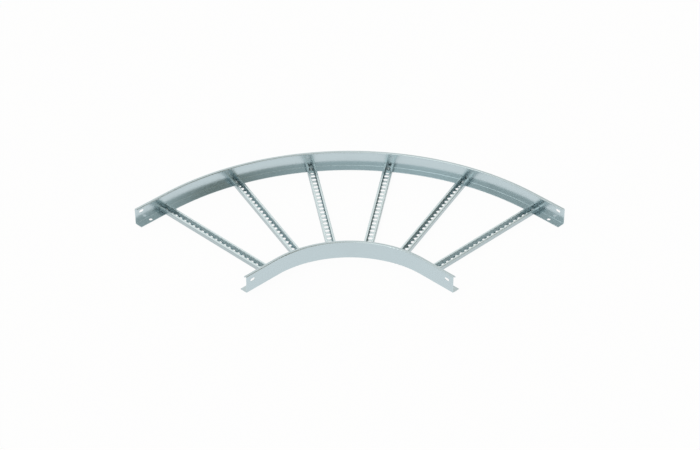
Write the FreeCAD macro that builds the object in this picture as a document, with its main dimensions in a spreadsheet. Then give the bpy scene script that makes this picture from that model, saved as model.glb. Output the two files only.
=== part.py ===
import FreeCAD, Part
import Sketcher
import math
import os

# Cable ladder bend, flat, 90 degrees, galvanised steel sheet.
# Millimetres, +Z up. The straight ends run along -Y (on the +X side) and along -X (on the
# +Y side). The origin is the middle of the bounding box, on the plane the rails stand on.

SIZES = {
    # Plan of the bend
    "inner_radius": 300.0,       # bend centre to the near face of the inner rail's web
    "ladder_width": 498.0,       # over the webs of the two rails
    "straight_end": 125.0,       # straight length at both ends of each rail
    # Side rails, each folded from one strip
    "side_height": 56.5,
    "rail_sheet": 1.5,
    "rail_fold": 0.5,            # inside radius of the folds
    "base_flange": 27.0,         # from the web's outer face to the free edge
    "top_flange": 10.0,
    "top_lip": 5.0,              # turned down at the top flange's edge
    # Joint slots in the webs, one at each end of each rail
    "web_slot_length": 17.0,
    "web_slot_width": 9.0,
    "web_slot_inset": 24.5,      # from the rail's end to the slot's middle
    "web_slot_rise": 37.0,       # from the underside to the slot's middle
    # Holes in the base flanges
    "fixing_line": 16.0,         # from the web's outer face to bolt holes and rivets
    "bolt_hole": 11.0,
    "bolt_hole_inset": 47.0,     # from the rail's end
    # Rungs, C sections that open upwards
    "rung_width": 30.0,
    "rung_depth": 14.0,
    "rung_sheet": 1.5,
    "rung_fold": 0.5,            # inside radius of the folds
    "rung_lip": 6.5,             # each lip, turned in over the channel
    "rung_end_gap": 0.3,         # from a rung's end to the fold at the foot of the web
    "end_rung_shift": 14.0,      # first and last rung, beyond the bend's tangent lines
    # Slots across each rung, and a smaller one at both ends of the row
    "slot_pitch": 20.0,
    "slot_across": 16.0,
    "slot_along": 11.5,
    "slot_to_rivet": 38.0,       # least distance from a rivet to the nearest full slot
    "slot_row_shift": 2.3,       # of the row's middle, towards the outer rail
    "end_slot_step": 15.7,       # from the last full slot's middle to the smaller one's
    "end_slot_across": 11.0,
    "end_slot_along": 8.0,
    # Rivets, one through each rung end and the flange under it
    "rivet_shank": 6.4,
    "rivet_head": 13.0,
    "rivet_head_side": 3.0,      # height of the head's upright side
    "rivet_dome_rise": 3.0,      # of the dome on top of it
    "rivet_tail": 8.8,           # closing head, set flush in the flange's countersink
    "rivet_play": 0.1,           # around the shank and the closing head
}

RUNG_STEPS = 5                   # equal angles that the rungs divide the bend into
BEND_DEGREES = 90.0


class Length:
    """A length as a number, with the same length as an expression over the sheet."""

    def __init__(self, number, text):
        self.number = number
        self.text = text

    def joined(self, sign, other, number):
        return Length(number, "(%s %s %s)" % (self.text, sign, as_length(other).text))

    def __add__(self, other):
        return self.joined("+", other, self.number + as_length(other).number)

    def __sub__(self, other):
        return self.joined("-", other, self.number - as_length(other).number)

    def __mul__(self, other):
        return self.joined("*", other, self.number * as_length(other).number)

    def __truediv__(self, other):
        return self.joined("/", other, self.number / as_length(other).number)

    def __neg__(self):
        return Length(-self.number, "(-1 * %s)" % self.text)


def as_length(item):
    return item if isinstance(item, Length) else Length(item, repr(item))


ZERO = as_length(0.0)

doc = FreeCAD.newDocument("cable_ladder_bend")
sheet = doc.addObject("Spreadsheet::Sheet", "Sizes")
for row, (alias, number) in enumerate(SIZES.items(), start=1):
    sheet.set("A%d" % row, alias)
    sheet.set("B%d" % row, str(number))
    sheet.setAlias("B%d" % row, alias)
doc.recompute()


def size(alias):
    """A driving dimension, read back from the sheet."""
    return Length(float(sheet.get(alias)), "Sizes." + alias)


def bind(feature, path, length):
    feature.setExpression(path, length.text)


# Places that several pieces share
inner_face = size("inner_radius")
outer_face = inner_face + size("ladder_width")
rail_corner = size("rail_fold") + size("rail_sheet")
rivet_hole = size("rivet_shank") + size("rivet_play") * 2
countersink = size("rivet_tail") + size("rivet_play") * 2
inner_rivet_line = inner_face + size("fixing_line")
outer_rivet_line = outer_face - size("fixing_line")
rung_start = inner_face + rail_corner + size("rung_end_gap")
rung_end = outer_face - rail_corner - size("rung_end_gap")
bend_centre = (size("straight_end") - outer_face) / 2


# Sketch helpers

def new_body(label):
    body = doc.addObject("PartDesign::Body", label)
    body.Label = label
    return body


def new_sketch(body, name, role):
    """An empty sketch on one of the body's own origin planes."""
    sketch = body.newObject("Sketcher::SketchObject", body.Label + "_" + name)
    plane = [item for item in body.Origin.OriginFeatures if item.Role == role]
    sketch.AttachmentSupport = [(plane[0], "")]
    sketch.MapMode = "FlatFace"
    return sketch


def dimension(sketch, kind, where, length):
    index = sketch.addConstraint(Sketcher.Constraint(kind, *where, length.number))
    bind(sketch, "Constraints[%d]" % index, length)


def place_point(sketch, shape, point, x, y):
    """Ties a point to the sketch's origin, each way with a positive distance."""
    for kind, length in (("DistanceX", x), ("DistanceY", y)):
        if abs(length.number) < 1e-9:
            axis = -2 if kind == "DistanceX" else -1
            sketch.addConstraint(Sketcher.Constraint("PointOnObject", shape, point, axis))
        elif length.number > 0:
            dimension(sketch, kind, (-1, 1, shape, point), length)
        else:
            dimension(sketch, kind, (shape, point, -1, 1), -length)


def add_line(sketch, start, end):
    return sketch.addGeometry(Part.LineSegment(FreeCAD.Vector(*start), FreeCAD.Vector(*end)))


def add_arc(sketch, centre, radius, first, last):
    circle = Part.Circle(FreeCAD.Vector(*centre), FreeCAD.Vector(0, 0, 1), radius)
    return sketch.addGeometry(Part.ArcOfCircle(circle, first, last))


def add_circle(sketch, x, y, diameter):
    centre = FreeCAD.Vector(x.number, y.number, 0)
    circle = sketch.addGeometry(Part.Circle(centre, FreeCAD.Vector(0, 0, 1), diameter.number / 2))
    dimension(sketch, "Diameter", (circle,), diameter)
    place_point(sketch, circle, 3, x, y)


def add_slot(sketch, x, y, length, width, upright=False):
    """A slot with round ends, its middle at x, y, its length along X or upright."""
    reach = (length - width) / 2
    radius = width / 2
    step = (0.0, reach.number) if upright else (reach.number, 0.0)
    side = (radius.number, 0.0) if upright else (0.0, radius.number)
    turn = math.pi / 2 if upright else 0.0
    middle = (x.number, y.number)
    far = add_arc(sketch, (middle[0] + step[0], middle[1] + step[1], 0), radius.number,
                  turn - math.pi / 2, turn + math.pi / 2)
    near = add_arc(sketch, (middle[0] - step[0], middle[1] - step[1], 0), radius.number,
                   turn + math.pi / 2, turn + math.pi * 3 / 2)
    ends = {}
    for sign in (1, -1):
        start = (middle[0] - step[0] + sign * side[0], middle[1] - step[1] + sign * side[1], 0)
        end = (middle[0] + step[0] + sign * side[0], middle[1] + step[1] + sign * side[1], 0)
        ends[sign] = add_line(sketch, start, end)
    far_points = {1: 1, -1: 2} if upright else {1: 2, -1: 1}
    for sign, line in ends.items():
        far_point = far_points[sign]
        sketch.addConstraint(Sketcher.Constraint("Tangent", line, 2, far, far_point))
        sketch.addConstraint(Sketcher.Constraint("Tangent", line, 1, near, 3 - far_point))
    for line in ends.values():
        sketch.addConstraint(Sketcher.Constraint("Vertical" if upright else "Horizontal", line))
    dimension(sketch, "Radius", (far,), radius)
    if upright:
        place_point(sketch, far, 3, x, y + reach)
        dimension(sketch, "DistanceY", (near, 3, far, 3), length - width)
    else:
        place_point(sketch, far, 3, x + reach, y)
        dimension(sketch, "DistanceX", (near, 3, far, 3), length - width)


def add_folded_section(sketch, corners, thickness, fold):
    """The closed outline of a sheet folded along the outside path through the corners.

    All folds turn the same way, by 90 degrees, and the sheet lies inside the path.
    """
    outside = fold + thickness
    last = len(corners) - 2
    headings = []
    runs = []
    for (x0, y0), (x1, y1) in zip(corners, corners[1:]):
        along_x = abs(x1.number - x0.number) > abs(y1.number - y0.number)
        run = x1 - x0 if along_x else y1 - y0
        sign = 1.0 if run.number > 0 else -1.0
        headings.append((sign, 0.0) if along_x else (0.0, sign))
        runs.append(run if sign > 0 else -run)
    turn = headings[0][0] * headings[1][1] - headings[0][1] * headings[1][0]
    inward = [(-hy * turn, hx * turn) for hx, hy in headings]

    def moved(point, heading, distance):
        return (point[0] + heading[0] * distance, point[1] + heading[1] * distance, 0)

    outer_lines = []
    inner_lines = []
    for index, run in enumerate(runs):
        start = (corners[index][0].number, corners[index][1].number)
        end = (corners[index + 1][0].number, corners[index + 1][1].number)
        bends = (index > 0) + (index < last)
        start = moved(start, headings[index], outside.number if index > 0 else 0.0)
        end = moved(end, headings[index], -outside.number if index < last else 0.0)
        outer = add_line(sketch, start, end)
        inner = add_line(sketch, moved(start, inward[index], thickness.number),
                         moved(end, inward[index], thickness.number))
        outer_lines.append(outer)
        inner_lines.append(inner)
        flat = "Horizontal" if headings[index][1] == 0.0 else "Vertical"
        sketch.addConstraint(Sketcher.Constraint(flat, outer))
        if index in (0, last):
            sketch.addConstraint(Sketcher.Constraint(flat, inner))
        dimension(sketch, "Distance", (outer,), run - outside * bends)

    for index in range(last):
        corner = (corners[index + 1][0].number, corners[index + 1][1].number)
        centre = moved(moved(corner, headings[index], -outside.number),
                       inward[index], outside.number)
        before = math.atan2(-inward[index][1], -inward[index][0])
        after = math.atan2(-inward[index + 1][1], -inward[index + 1][0])
        first, second = (before, after) if turn > 0 else (after, before)
        if second < first:
            second += math.tau
        entry, leave = (1, 2) if turn > 0 else (2, 1)
        arcs = []
        for radius, lines in ((outside, outer_lines), (fold, inner_lines)):
            arc = add_arc(sketch, centre, radius.number, first, second)
            sketch.addConstraint(Sketcher.Constraint("Tangent", lines[index], 2, arc, entry))
            sketch.addConstraint(Sketcher.Constraint("Tangent", lines[index + 1], 1, arc, leave))
            dimension(sketch, "Radius", (arc,), radius)
            arcs.append(arc)
        sketch.addConstraint(Sketcher.Constraint("Coincident", arcs[0], 3, arcs[1], 3))

    for line, point in ((0, 1), (last, 2)):
        outer, inner = outer_lines[line], inner_lines[line]
        outer_end = sketch.getPoint(outer, point)
        inner_end = sketch.getPoint(inner, point)
        cap = add_line(sketch, tuple(outer_end), tuple(inner_end))
        sketch.addConstraint(Sketcher.Constraint("Coincident", cap, 1, outer, point))
        sketch.addConstraint(Sketcher.Constraint("Coincident", cap, 2, inner, point))
        sketch.addConstraint(Sketcher.Constraint("Perpendicular", cap, outer))
    place_point(sketch, outer_lines[0], 1, *corners[0])


# Feature helpers

def add_pad(body, name, sketch, length, backwards=False):
    pad = body.newObject("PartDesign::Pad", body.Label + "_" + name)
    pad.Profile = sketch
    pad.Reversed = backwards
    bind(pad, "Length", length)
    return pad


def add_turn(body, name, sketch, degrees):
    turned = body.newObject("PartDesign::Revolution", body.Label + "_" + name)
    turned.Profile = sketch
    turned.ReferenceAxis = (sketch, ["V_Axis"])
    turned.Angle = degrees
    return turned


def add_pocket(body, name, sketch, depth=None, backwards=False):
    """A cut through everything, or to a depth, that has to take material away."""
    doc.recompute()
    before = body.Shape.Volume
    pocket = body.newObject("PartDesign::Pocket", body.Label + "_" + name)
    pocket.Profile = sketch
    pocket.Reversed = backwards
    if depth is None:
        pocket.Type = "ThroughAll"
    else:
        bind(pocket, "Length", depth)
    doc.recompute()
    if not body.Shape.Volume < before - 1e-6:
        raise RuntimeError(pocket.Name + " cuts nothing")
    return pocket


def place(body, x, y, z, degrees=0.0):
    """Puts the body's own origin at x, y, z, measured from the bend's centre."""
    upright = FreeCAD.Vector(0, 0, 1)
    spot = (bend_centre + x, bend_centre + y, z)
    base = FreeCAD.Vector(*[length.number for length in spot])
    body.Placement = FreeCAD.Placement(base, FreeCAD.Rotation(upright, degrees))
    for axis, length in zip("xyz", spot):
        bind(body, "Placement.Base." + axis, length)


# Rung stations: the angle round the bend, and the shift along that angle's tangent

def rung_stations():
    step = BEND_DEGREES / RUNG_STEPS
    for index in range(RUNG_STEPS + 1):
        shift = ZERO
        if index == 0:
            shift = -size("end_rung_shift")
        elif index == RUNG_STEPS:
            shift = size("end_rung_shift")
        yield index + 1, index * step, shift


def polar(radius, shift, degrees):
    """The plan position at a radius, moved by a shift along the tangent."""
    cosine = math.cos(math.radians(degrees))
    sine = math.sin(math.radians(degrees))
    return radius * cosine - shift * sine, radius * sine + shift * cosine


# Side rail

def make_rail(label, web_face, inward):
    """One side rail; inward is +1 where its flanges point away from the bend's centre."""
    base_edge = web_face + size("base_flange") * inward
    top_edge = web_face + size("top_flange") * inward
    height = size("side_height")
    corners = [
        (base_edge, ZERO),
        (web_face, ZERO),
        (web_face, height),
        (top_edge, height),
        (top_edge, height - size("top_lip")),
    ]
    rivet_line = web_face + size("fixing_line") * inward
    straight = size("straight_end")
    body = new_body(label)

    section = new_sketch(body, "section", "XZ_Plane")
    add_folded_section(section, corners, size("rail_sheet"), size("rail_fold"))
    add_turn(body, "curve", section, BEND_DEGREES)
    add_pad(body, "first_end", section, straight)
    far_section = new_sketch(body, "far_section", "YZ_Plane")
    add_folded_section(far_section, corners, size("rail_sheet"), size("rail_fold"))
    add_pad(body, "second_end", far_section, straight, backwards=True)

    slot_middle = -(straight - size("web_slot_inset"))
    for name, role, backwards in (("first", "YZ_Plane", True), ("second", "XZ_Plane", False)):
        slot = new_sketch(body, name + "_web_slot_outline", role)
        add_slot(slot, slot_middle, size("web_slot_rise"),
                 size("web_slot_length"), size("web_slot_width"))
        add_pocket(body, name + "_web_slot", slot, backwards=backwards)

    hole_middle = -(straight - size("bolt_hole_inset"))
    holes = new_sketch(body, "bolt_hole_outlines", "XY_Plane")
    add_circle(holes, rivet_line, hole_middle, size("bolt_hole"))
    add_circle(holes, hole_middle, rivet_line, size("bolt_hole"))
    add_pocket(body, "bolt_holes", holes, size("rail_sheet"), backwards=True)

    spots = new_sketch(body, "rivet_hole_outlines", "XY_Plane")
    for _, degrees, shift in rung_stations():
        add_circle(spots, *polar(rivet_line, shift, degrees), rivet_hole)
    rivet_holes = add_pocket(body, "rivet_holes", spots, size("rail_sheet"), backwards=True)

    rims = []
    for index, edge in enumerate(rivet_holes.Shape.Edges, start=1):
        curve = edge.Curve
        if not isinstance(curve, Part.Circle) or abs(curve.Center.z) > 1e-6:
            continue
        if abs(curve.Radius - rivet_hole.number / 2) < 1e-6 and abs(curve.Axis.z) > 0.9:
            rims.append("Edge%d" % index)
    countersinks = body.newObject("PartDesign::Chamfer", label + "_countersinks")
    countersinks.Base = (rivet_holes, rims)
    bind(countersinks, "Size", (countersink - rivet_hole) / 2)
    place(body, ZERO, ZERO, ZERO)
    return body


# Rung

def make_rung(label, degrees, shift):
    """A slotted C section; its own X runs from the inner rail to the outer one."""
    half = size("rung_width") / 2
    depth = size("rung_depth")
    lip_edge = half - size("rung_lip")
    corners = [
        (-lip_edge, depth),
        (-half, depth),
        (-half, ZERO),
        (half, ZERO),
        (half, depth),
        (lip_edge, depth),
    ]
    body = new_body(label)
    section = new_sketch(body, "section", "YZ_Plane")
    add_folded_section(section, corners, size("rung_sheet"), size("rung_fold"))
    add_pad(body, "channel", section, rung_end - rung_start)

    inner_rivet = inner_rivet_line - rung_start
    outer_rivet = outer_rivet_line - rung_start
    rivets = new_sketch(body, "rivet_hole_outlines", "XY_Plane")
    add_circle(rivets, inner_rivet, ZERO, rivet_hole)
    add_circle(rivets, outer_rivet, ZERO, rivet_hole)
    add_pocket(body, "rivet_holes", rivets, size("rung_sheet"), backwards=True)

    pitch = size("slot_pitch")
    room = outer_rivet - inner_rivet - size("slot_to_rivet") * 2
    gaps = int(room.number / pitch.number + 1e-9)
    row_middle = (inner_rivet + outer_rivet) / 2 + size("slot_row_shift")
    first_slot = row_middle - pitch * gaps / 2
    last_slot = row_middle + pitch * gaps / 2
    step = size("end_slot_step")
    end_outlines = new_sketch(body, "end_slot_outlines", "XY_Plane")
    for spot in (first_slot - step, last_slot + step):
        add_slot(end_outlines, spot, ZERO, size("end_slot_across"), size("end_slot_along"),
                 upright=True)
    add_pocket(body, "end_slots", end_outlines, size("rung_sheet"), backwards=True)

    outline = new_sketch(body, "slot_outline", "XY_Plane")
    add_slot(outline, first_slot, ZERO, size("slot_across"), size("slot_along"), upright=True)
    slot = add_pocket(body, "first_slot", outline, size("rung_sheet"), backwards=True)
    row_of_slots = body.newObject("PartDesign::LinearPattern", label + "_slots")
    row_of_slots.Originals = [slot]
    row_of_slots.Direction = (outline, ["H_Axis"])
    row_of_slots.Occurrences = gaps + 1
    bind(row_of_slots, "Length", pitch * gaps)
    body.Tip = row_of_slots
    place(body, *polar(rung_start, shift, degrees), size("rail_sheet"), degrees)
    return body


# Rivet

def make_rivet(label, radius, degrees, shift):
    """Domed head on the rung, shank, and a closing head flush with the rail's underside."""
    shank = size("rivet_shank") / 2
    tail = size("rivet_tail") / 2
    head = size("rivet_head") / 2
    rise = size("rivet_dome_rise")
    seat = size("rail_sheet") + size("rung_sheet")
    shoulder = seat + size("rivet_head_side")
    cone = tail - shank
    top = shoulder + rise
    dome_radius = (head * head / rise + rise) / 2
    body = new_body(label)
    section = new_sketch(body, "section", "XZ_Plane")
    points = [
        (ZERO, ZERO),
        (tail, ZERO),
        (shank, cone),
        (shank, seat),
        (head, seat),
        (head, shoulder),
        (ZERO, top),
    ]
    plain = [(x.number, y.number, 0) for x, y in points]
    lines = [add_line(section, start, end) for start, end in zip(plain, plain[1:-1])]
    centre = (0.0, top.number - dome_radius.number, 0)
    rim = math.atan2(shoulder.number - centre[1], head.number)
    dome = add_arc(section, centre, dome_radius.number, rim, math.pi / 2)
    axis = add_line(section, plain[-1], plain[0])
    for first, second in zip(lines, lines[1:]):
        section.addConstraint(Sketcher.Constraint("Coincident", first, 2, second, 1))
    section.addConstraint(Sketcher.Constraint("Coincident", lines[-1], 2, dome, 1))
    section.addConstraint(Sketcher.Constraint("Coincident", dome, 2, axis, 1))
    section.addConstraint(Sketcher.Constraint("Coincident", axis, 2, lines[0], 1))
    section.addConstraint(Sketcher.Constraint("Coincident", axis, 2, -1, 1))
    section.addConstraint(Sketcher.Constraint("Vertical", axis))
    section.addConstraint(Sketcher.Constraint("PointOnObject", dome, 3, -2))
    section.addConstraint(Sketcher.Constraint("Horizontal", lines[0]))
    section.addConstraint(Sketcher.Constraint("Vertical", lines[2]))
    section.addConstraint(Sketcher.Constraint("Horizontal", lines[3]))
    section.addConstraint(Sketcher.Constraint("Vertical", lines[4]))
    dimension(section, "DistanceX", (-1, 1, lines[0], 2), tail)
    dimension(section, "DistanceX", (-1, 1, lines[1], 2), shank)
    dimension(section, "DistanceY", (-1, 1, lines[1], 2), cone)
    dimension(section, "DistanceX", (-1, 1, lines[3], 2), head)
    dimension(section, "DistanceY", (-1, 1, lines[3], 2), seat)
    dimension(section, "DistanceY", (-1, 1, lines[4], 2), shoulder)
    dimension(section, "DistanceY", (-1, 1, axis, 1), top)
    add_turn(body, "turned", section, 360.0)
    place(body, *polar(radius, shift, degrees), ZERO, degrees)
    return body


# The whole ladder bend

parts = [
    make_rail("inner_rail", inner_face, 1),
    make_rail("outer_rail", outer_face, -1),
]
for number, degrees, shift in rung_stations():
    parts.append(make_rung("rung_%d" % number, degrees, shift))
for number, degrees, shift in rung_stations():
    parts.append(make_rivet("inner_rivet_%d" % number, inner_rivet_line, degrees, shift))
    parts.append(make_rivet("outer_rivet_%d" % number, outer_rivet_line, degrees, shift))
doc.recompute()

for item in doc.Objects:
    if "Invalid" in item.State or "Error" in item.State:
        raise RuntimeError(item.Name + " failed: " + str(item.State))
for body in parts:
    if body.Shape.isNull() or not body.Shape.isValid():
        raise RuntimeError(body.Label + " has no valid shape")

os.makedirs("parts", exist_ok=True)
for body in parts:
    body.Shape.exportStep("parts/%s.step" % body.Label)
    print(body.Label, len(body.Shape.Solids), round(body.Shape.Volume, 1))
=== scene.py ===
import math

import bpy
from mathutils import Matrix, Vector


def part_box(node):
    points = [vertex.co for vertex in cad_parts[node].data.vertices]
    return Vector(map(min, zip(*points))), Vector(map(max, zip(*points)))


# A flat cable ladder bend in galvanised steel, on a pale floor in soft studio light.
# Metres, in the frame of the imported part: +Z up, the bend's centre towards -X and -Y.

# Sizes of the part that the finish, its painted shade and highlight, and the view follow
INNER_RADIUS = 0.300
LADDER_WIDTH = 0.498
STRAIGHT_END = 0.125
RAIL_SHEET = 0.0015
MIDDLE_RADIUS = INNER_RADIUS + LADDER_WIDTH / 2
# The fold between a rail's web and its base flange, measured on its inside
FOLD_FROM_MIDDLE = LADDER_WIDTH / 2 - RAIL_SHEET
FOLD_HEIGHT = RAIL_SHEET

# The steel of each kind of piece: its colour, its roughness and the strength of its grain
RAIL_STEEL = ((0.538, 0.634, 0.664), 0.22, 0.012)
RUNG_STEEL = ((0.550, 0.642, 0.665), 0.26, 0.020)
RIVET_STEEL = ((0.560, 0.650, 0.680), 0.60, 0.0)

# Patterns in the zinc: repeats per metre, or per radian round the bend
CLOUD_SCALE = 14.0
CRYSTAL_SCALE = 170.0
SPECKLE_SCALE = 1400.0
GRAIN_SCALE_ALONG = 6.0
GRAIN_SCALE_ACROSS = 900.0
NOISE_MIDDLE = (0.3, 0.7)

# How much they lighten and darken the steel, or change its gloss
CLOUD_TONE = 0.010
CLOUD_GLOSS = (-0.03, 0.04)
CRYSTAL_TONE = 0.008
CRYSTAL_GLOSS = 0.015
SPECKLE_SHARE = 0.4
BUMP_HEIGHT = 0.0002
BUMP_STRENGTH = 0.04

# Edges, which are brighter and glossier
EDGE_WIDTH = 0.0008
EDGE_TONE = 1.45
EDGE_GLOSS = 0.06
EDGE_FACING = (0.985, 0.86)

# Painted shade: corners darkened beside the rungs and in their channels
PAINTED_SHADE_REACH = 0.008
PAINTED_SHADE_OPENNESS = (0.25, 0.8)
PAINTED_SHADE_BESIDE_RUNGS = 0.60
PAINTED_SHADE_IN_CHANNELS = 0.80

# The rail's fold: where the painted shade ends before it, and the painted highlight, a light line
# along it
FOLD_CLEARANCE = (0.0115, 0.0055)
FOLD_HIGHLIGHT_TONE = 1.22
FOLD_HIGHLIGHT_CORE = 0.0008
FOLD_HIGHLIGHT_EDGE = 0.0013

# A rung's painted light: upright walls painted darker and flat faces painted lighter
SHADED_WALL_TONE = 0.85
LIT_FLAT_TONE = 1.26
LIT_FLAT_FACING = (0.35, 0.95)

# The view: along the line that halves the bend, from the side of the bend's centre
AIM_FROM_CENTRE = 0.4696
AIM_TO_THE_RIGHT = 0.0007
VIEW_DISTANCE = 6.8589
VIEW_ELEVATION = math.radians(35.04)
SENSOR_WIDTH = 36.0
LENS = 115.8
VIEW_REACH = 100.0

# The floor, a little under the part so that no faces share a plane
FLOOR_HALF = 30.0
FLOOR_DROP = 0.0004
FLOOR_COLOUR = (0.93, 0.93, 0.93, 1.0)
FLOOR_WHITE_SHARE = 0.95

# The room that lights the part. Each patch multiplies its light: turn to the right of the
# camera and elevation, in degrees; the radius of its core and of its soft edge, in degrees;
# and its colour. The room is darker to the right and brighter high on the left.
ROOM_LIGHT = (0.962, 0.947, 0.922)
ROOM_PATCHES = (
    (59.0, 9.0, 13.5, 26.0, (0.10, 0.09, 0.03)),
    (51.0, 63.0, 3.0, 38.5, (0.16, 0.15, 0.09)),
    (142.0, 43.0, 17.0, 27.0, (0.12, 0.11, 0.05)),
    (-48.0, 79.0, 26.0, 42.5, (1.32, 1.32, 1.32)),
    (-50.0, 66.0, 16.0, 30.0, (1.40, 1.40, 1.40)),
    (-70.0, 20.0, 18.0, 30.0, (0.75, 0.75, 0.74)),
)

WHITE = (1.0, 1.0, 1.0, 1.0)

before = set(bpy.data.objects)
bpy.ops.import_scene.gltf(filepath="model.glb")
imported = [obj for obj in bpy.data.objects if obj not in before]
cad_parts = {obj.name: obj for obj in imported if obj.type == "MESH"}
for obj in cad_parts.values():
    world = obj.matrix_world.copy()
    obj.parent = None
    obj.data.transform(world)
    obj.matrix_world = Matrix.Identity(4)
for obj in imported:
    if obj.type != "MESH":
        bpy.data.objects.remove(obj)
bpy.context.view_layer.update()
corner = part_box("outer_rail")[0]
bend_centre = Vector((corner.x + STRAIGHT_END, corner.y + STRAIGHT_END, 0.0))
outward = Vector((1.0, 1.0, 0.0)).normalized()
rightward = Vector((1.0, -1.0, 0.0)).normalized()
upward = Vector((0.0, 0.0, 1.0))


# Node helpers

def new_tree(owner):
    owner.use_nodes = True
    tree = owner.node_tree
    tree.nodes.clear()
    return tree


def node(tree, kind, settings=None, **inputs):
    """A shader node. An input is a number, a colour or another node's output, and its name
    is the socket's, or i and the socket's number."""
    made = tree.nodes.new("ShaderNode" + kind)
    for name, value in (settings or {}).items():
        setattr(made, name, value)
    for name, value in inputs.items():
        key = int(name[1:]) if name[0] == "i" and name[1:].isdigit() else name.replace("_", " ")
        socket = made.inputs[key]
        if isinstance(value, bpy.types.NodeSocket):
            tree.links.new(value, socket)
        else:
            socket.default_value = value
    return made


def math_node(tree, operation, first, second=0.0):
    return node(tree, "Math", {"operation": operation}, i0=first, i1=second).outputs[0]


def product(tree, first, *others):
    for other in others:
        first = math_node(tree, "MULTIPLY", first, other)
    return first


def length(tree, first, second):
    """The length of the sides' diagonal."""
    squares = math_node(tree, "ADD", product(tree, first, first), product(tree, second, second))
    return math_node(tree, "SQRT", squares)


def remap(tree, value, low, high, to_low=0.0, to_high=1.0, smooth=False):
    kind = "SMOOTHSTEP" if smooth else "LINEAR"
    made = node(tree, "MapRange", {"interpolation_type": kind}, Value=value)
    for name, number in (("From Min", low), ("From Max", high),
                         ("To Min", to_low), ("To Max", to_high)):
        made.inputs[name].default_value = number
    return made.outputs["Result"]


def swing(tree, noise, low, high):
    """A noise's middle range, spread from low to high."""
    return remap(tree, noise.outputs["Fac"], *NOISE_MIDDLE, low, high)


def scaled_colour(tree, colour, factor):
    """The colour, lighter or darker by a factor that varies over the surface."""
    made = node(tree, "VectorMath", {"operation": "SCALE"})
    made.inputs[0].default_value = colour[:3]
    tree.links.new(factor, made.inputs["Scale"])
    return made.outputs["Vector"]


# Places on the part

def bend_coordinates(tree):
    """The place, and its distance from the bend's centre, angle and height, so that grain
    can run along a piece. The distance goes on unchanged along the straight ends."""
    place = node(tree, "TexCoord").outputs["Object"]
    moved = node(tree, "VectorMath", {"operation": "SUBTRACT"}, i0=place)
    moved.inputs[1].default_value = bend_centre
    parts = node(tree, "SeparateXYZ", Vector=moved.outputs["Vector"])
    x, y, height = (parts.outputs[name] for name in "XYZ")
    radius = length(tree, math_node(tree, "MAXIMUM", x, 0.0), math_node(tree, "MAXIMUM", y, 0.0))
    angle = math_node(tree, "ARCTAN2", y, x)
    return place, radius, angle, height


def distance_from_middle(tree, radius):
    """How far a place is from the ladder's middle line, towards either rail."""
    return math_node(tree, "ABSOLUTE", math_node(tree, "SUBTRACT", radius, MIDDLE_RADIUS))


# Tones: factors that make the steel lighter or darker, as painted shade and painted highlights

def painted_corner_shade(tree, least):
    """Painted shade, darker in corners and narrow channels: 1 in the open, down to the least."""
    corners = node(tree, "AmbientOcclusion", {"samples": 8}, Distance=PAINTED_SHADE_REACH)
    return remap(tree, corners.outputs["AO"], *PAINTED_SHADE_OPENNESS, least, 1.0)


def painted_shade_beside_rungs(tree, from_middle):
    """Painted shade where a rung stands on the flange, but not in the rail's own fold."""
    far, near = FOLD_CLEARANCE
    in_fold = remap(tree, from_middle, FOLD_FROM_MIDDLE - far, FOLD_FROM_MIDDLE - near)
    return math_node(tree, "MAXIMUM", painted_corner_shade(tree, PAINTED_SHADE_BESIDE_RUNGS), in_fold)


def painted_fold_highlight(tree, from_middle, height):
    """A painted highlight: a light line along the inside of the fold between web and base flange.
    """
    across = math_node(tree, "SUBTRACT", from_middle, FOLD_FROM_MIDDLE)
    above = math_node(tree, "SUBTRACT", height, FOLD_HEIGHT)
    distance = length(tree, across, above)
    return remap(tree, distance, FOLD_HIGHLIGHT_CORE, FOLD_HIGHLIGHT_EDGE, FOLD_HIGHLIGHT_TONE, 1.0)


def painted_light_on_flats(tree):
    """Painted light: flat faces are painted brighter than upright walls."""
    facing = node(tree, "SeparateXYZ", Vector=node(tree, "NewGeometry").outputs["Normal"])
    levelness = math_node(tree, "ABSOLUTE", facing.outputs["Z"])
    return remap(tree, levelness, *LIT_FLAT_FACING, SHADED_WALL_TONE, LIT_FLAT_TONE)


def no_painted_light(tree, radius, height):
    return ()


def rail_painted_light(tree, radius, height):
    from_middle = distance_from_middle(tree, radius)
    # The rail's painted shade beside the rungs and painted highlight along its fold
    return painted_shade_beside_rungs(tree, from_middle), painted_fold_highlight(tree, from_middle, height)


def rung_painted_light(tree, radius, height):
    # The rung's painted shade in its channels and painted light on its flat faces
    return painted_corner_shade(tree, PAINTED_SHADE_IN_CHANNELS), painted_light_on_flats(tree)


# Steel

def rolling_grain(tree, along, across, height):
    """Noise drawn out along a piece."""
    stretched = node(tree, "CombineXYZ")
    tree.links.new(product(tree, along, GRAIN_SCALE_ALONG), stretched.inputs["X"])
    tree.links.new(product(tree, across, GRAIN_SCALE_ACROSS), stretched.inputs["Y"])
    tree.links.new(product(tree, height, GRAIN_SCALE_ACROSS), stretched.inputs["Z"])
    return node(tree, "TexNoise", Vector=stretched.outputs["Vector"], Scale=1.0,
                Detail=2.0, Roughness=0.5)


def edges(tree):
    """The normal with softened edges, and how far it turns there from the face's own: 0 to 1."""
    softened = node(tree, "Bevel", {"samples": 4}, Radius=EDGE_WIDTH).outputs["Normal"]
    flat = node(tree, "NewGeometry").outputs["Normal"]
    facing = node(tree, "VectorMath", {"operation": "DOT_PRODUCT"}, i0=softened, i1=flat)
    return softened, remap(tree, facing.outputs["Value"], *EDGE_FACING, smooth=True)


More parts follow.
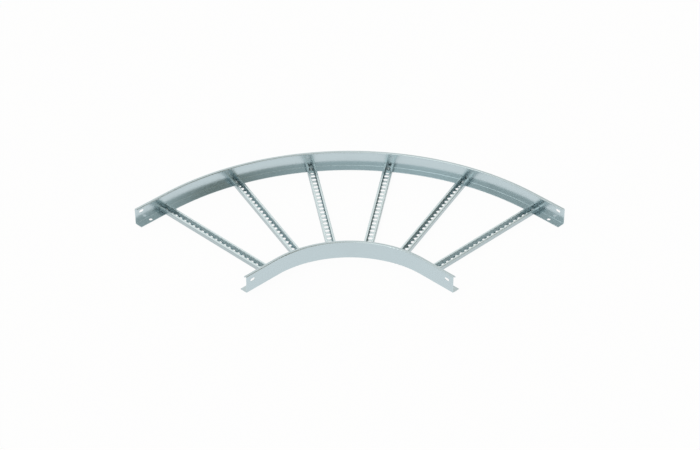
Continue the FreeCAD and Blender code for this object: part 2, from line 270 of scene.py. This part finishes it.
def galvanised(name, steel, grain_along_radius, painted_light_tones):
    """Zinc-coated sheet: soft clouds, faint crystals, rolling grain and brighter edges, with
    painted shade and highlights added for rails and rungs.
    """
    colour, roughness, grain = steel
    material = bpy.data.materials.new(name)
    tree = new_tree(material)
    place, radius, angle, height = bend_coordinates(tree)

    clouds = node(tree, "TexNoise", Vector=place, Scale=CLOUD_SCALE, Detail=3.0, Roughness=0.55)
    voronoi = node(tree, "TexVoronoi", {"feature": "F1"}, Vector=place, Scale=CRYSTAL_SCALE,
                   Randomness=1.0)
    crystals = node(tree, "SeparateColor", Color=voronoi.outputs["Color"]).outputs["Red"]
    speckle = node(tree, "TexNoise", Vector=place, Scale=SPECKLE_SCALE, Detail=2.0, Roughness=0.6)
    along, across = (radius, angle) if grain_along_radius else (angle, radius)
    rolling = rolling_grain(tree, along, across, height)
    softened, edge = edges(tree)

    tone = product(tree,
                   swing(tree, clouds, 1.0 - CLOUD_TONE, 1.0 + CLOUD_TONE),
                   remap(tree, crystals, 0.0, 1.0, 1.0 - CRYSTAL_TONE, 1.0 + CRYSTAL_TONE),
                   swing(tree, rolling, 1.0 - grain, 1.0 + grain),
                   remap(tree, edge, 0.0, 1.0, 1.0, EDGE_TONE),
                   # Painted shade and painted highlights, for rails and rungs
                   *painted_light_tones(tree, radius, height))

    gloss = swing(tree, clouds, *(roughness + change for change in CLOUD_GLOSS))
    gloss = math_node(tree, "ADD", gloss,
                      remap(tree, crystals, 0.0, 1.0, -CRYSTAL_GLOSS, CRYSTAL_GLOSS))
    gloss = math_node(tree, "SUBTRACT", gloss, product(tree, edge, EDGE_GLOSS))

    rough_height = math_node(tree, "ADD",
                             product(tree, speckle.outputs["Fac"], SPECKLE_SHARE),
                             product(tree, rolling.outputs["Fac"], 1.0 - SPECKLE_SHARE))
    bump = node(tree, "Bump", Strength=BUMP_STRENGTH, Distance=BUMP_HEIGHT,
                Height=rough_height, Normal=softened)

    shader = node(tree, "BsdfPrincipled", Metallic=1.0,
                  Base_Color=scaled_colour(tree, colour, tone), Roughness=gloss,
                  Normal=bump.outputs["Normal"])
    node(tree, "OutputMaterial", Surface=shader.outputs["BSDF"])
    return material


def dress(material, *names):
    for name in names:
        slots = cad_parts[name].data.materials
        slots.clear()
        slots.append(material)


def dress_part():
    # The rail and rung steel carry painted shade and painted highlights in their colour
    rail_steel = galvanised("rail_steel_with_painted_light", RAIL_STEEL, False, rail_painted_light)
    rung_steel = galvanised("rung_steel_with_painted_light", RUNG_STEEL, True, rung_painted_light)
    rivet_steel = galvanised("rivet_steel_finish", RIVET_STEEL, True, no_painted_light)
    names = list(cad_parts)
    dress(rail_steel, "inner_rail", "outer_rail")
    dress(rung_steel, *[name for name in names if name.startswith("rung_")])
    dress(rivet_steel, *[name for name in names if "_rivet_" in name])


# Floor

def white_to_the_eye(tree):
    """1 for rays from the camera, off metal or through glass, otherwise 0."""
    rays = node(tree, "LightPath").outputs
    seen = math_node(tree, "MAXIMUM", rays["Is Camera Ray"], rays["Is Glossy Ray"])
    return math_node(tree, "MAXIMUM", seen, rays["Is Transmission Ray"])


def make_floor():
    mesh = bpy.data.meshes.new("studio_floor")
    turns = ((-1, -1), (1, -1), (1, 1), (-1, 1))
    points = [(FLOOR_HALF * x, FLOOR_HALF * y, -FLOOR_DROP) for x, y in turns]
    mesh.from_pydata(points, [], [(0, 1, 2, 3)])
    floor = bpy.data.objects.new("studio_floor", mesh)
    bpy.context.scene.collection.objects.link(floor)
    material = bpy.data.materials.new("studio_floor_paint")
    tree = new_tree(material)
    paint = node(tree, "BsdfDiffuse", Color=FLOOR_COLOUR)
    glow = node(tree, "Emission", Color=WHITE, Strength=1.0)
    share = product(tree, white_to_the_eye(tree), FLOOR_WHITE_SHARE)
    mix = node(tree, "MixShader", Fac=share, i1=paint.outputs["BSDF"], i2=glow.outputs["Emission"])
    node(tree, "OutputMaterial", Surface=mix.outputs["Shader"])
    mesh.materials.append(material)


# Room

def room_direction(turn, elevation):
    """A direction, turned to the right from the one that points back past the camera."""
    level = -outward * math.cos(turn) + rightward * math.sin(turn)
    return level * math.cos(elevation) + upward * math.sin(elevation)


def make_room():
    world = bpy.data.worlds.new("studio_room")
    bpy.context.scene.world = world
    tree = new_tree(world)
    looking = node(tree, "TexCoord").outputs["Generated"]
    light = ROOM_LIGHT
    for turn, elevation, core, edge, colour in ROOM_PATCHES:
        aligned = node(tree, "VectorMath", {"operation": "DOT_PRODUCT"}, i0=looking)
        aligned.inputs[1].default_value = room_direction(math.radians(turn),
                                                         math.radians(elevation))
        share = remap(tree, aligned.outputs["Value"], math.cos(math.radians(edge)),
                      math.cos(math.radians(core)), smooth=True)
        patch = node(tree, "Mix", {"data_type": "RGBA"}, i0=share, i6=WHITE, i7=colour + (1.0,))
        light = node(tree, "VectorMath", {"operation": "MULTIPLY"},
                     i0=light, i1=patch.outputs[2]).outputs["Vector"]
    seen = node(tree, "LightPath").outputs["Is Camera Ray"]
    shown = node(tree, "Mix", {"data_type": "RGBA"}, i0=seen, i6=light, i7=WHITE)
    sky = node(tree, "Background", Color=shown.outputs[2], Strength=1.0)
    node(tree, "OutputWorld", Surface=sky.outputs["Background"])


# Camera

def make_camera():
    data = bpy.data.cameras.new("product_camera")
    data.sensor_width = SENSOR_WIDTH
    data.lens = LENS
    data.clip_end = VIEW_REACH
    camera = bpy.data.objects.new("product_camera", data)
    bpy.context.scene.collection.objects.link(camera)
    aim = bend_centre + outward * AIM_FROM_CENTRE + rightward * AIM_TO_THE_RIGHT
    back = -outward * math.cos(VIEW_ELEVATION) + upward * math.sin(VIEW_ELEVATION)
    camera.location = aim + back * VIEW_DISTANCE
    camera.rotation_euler = (-back).to_track_quat("-Z", "Y").to_euler()
    bpy.context.scene.camera = camera


dress_part()
make_camera()
make_floor()
make_room()
bpy.context.scene.view_settings.view_transform = "Standard"
